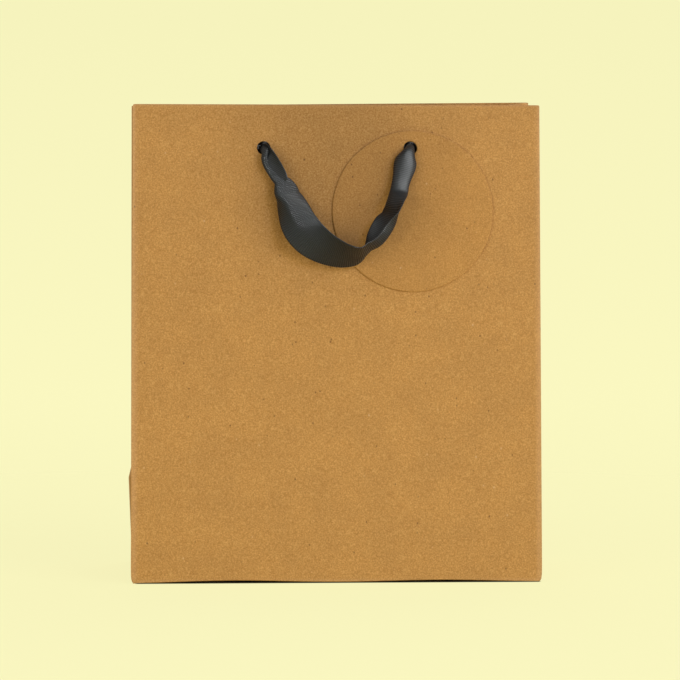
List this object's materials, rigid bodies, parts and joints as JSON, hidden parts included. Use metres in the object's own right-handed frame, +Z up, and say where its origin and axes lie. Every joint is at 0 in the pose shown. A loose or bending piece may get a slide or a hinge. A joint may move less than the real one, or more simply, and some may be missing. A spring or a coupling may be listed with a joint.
{
  "type": "gift bag",
  "caption": "Standing kraft-paper gift bag with folded-in side gussets, a glued flat base with a board, ribbon handles and a round hanging tag.",
  "frame": {"origin": "centre of the base's underside, on the surface that the bag stands on", "axes": "+Z up, -Y the front that carries the tag, +X to the right as seen from the front"},
  "size_m": [0.2198, 0.1028, 0.2507],
  "materials": {
    "kraft_paper": "uncoated brown kraft, fine mottled grain",
    "tag_card": "uncoated kraft card, slightly warmer than the bag",
    "grey_board": "uncoated grey-brown board",
    "ribbon": "charcoal grosgrain with fine cross ribs"
  },
  "bodies": {
    "bag": {"front_panel": "kraft_paper", "back_panel": "kraft_paper", "front_reinforcement_card": "grey_board", "back_reinforcement_card": "grey_board", "front_hem": "kraft_paper", "back_hem": "kraft_paper", "left_gusset_foot": "kraft_paper", "left_gusset_front_lower": "kraft_paper", "left_gusset_front_upper": "kraft_paper", "left_gusset_front_hem": "kraft_paper", "left_gusset_back_lower": "kraft_paper", "left_gusset_back_upper": "kraft_paper", "left_gusset_back_hem": "kraft_paper", "right_gusset_foot": "kraft_paper", "right_gusset_front_lower": "kraft_paper", "right_gusset_front_upper": "kraft_paper", "right_gusset_front_hem": "kraft_paper", "right_gusset_back_lower": "kraft_paper", "right_gusset_back_upper": "kraft_paper", "right_gusset_back_hem": "kraft_paper", "base_back_flap": "kraft_paper", "base_front_flap": "kraft_paper", "base_left_flap": "kraft_paper", "base_right_flap": "kraft_paper", "base_board": "grey_board", "side_seam_flap": "kraft_paper", "front_ribbon_left_gather": "ribbon", "front_ribbon_left_knot": "ribbon", "front_ribbon_right_gather": "ribbon", "front_ribbon_right_knot": "ribbon", "back_ribbon_left_gather": "ribbon", "back_ribbon_left_knot": "ribbon", "back_ribbon_right_gather": "ribbon", "back_ribbon_right_knot": "ribbon"},
    "tag": {"gift_tag": "tag_card"},
    "front_handle": {"front_ribbon_handle": "ribbon"},
    "back_handle": {"back_ribbon_handle": "ribbon"}
  },
  "joints": [
    {"name": "front_handle_swing", "type": "hinge", "parent": "bag", "child": "front_handle", "pos_m": [0, -0.03225, 0.22828], "axis": [-1, 0, 0], "range_deg": [0, 180]},
    {"name": "back_handle_swing", "type": "hinge", "parent": "bag", "child": "back_handle", "pos_m": [0, 0.03225, 0.22828], "axis": [1, 0, 0], "range_deg": [0, 180]},
    {"name": "tag_swivel", "type": "hinge", "parent": "bag", "child": "tag", "pos_m": [0.03875, -0.02807, 0.22785], "axis": [0, -0.9947, 0.1032], "range_deg": [-70, 90]}
  ]
}
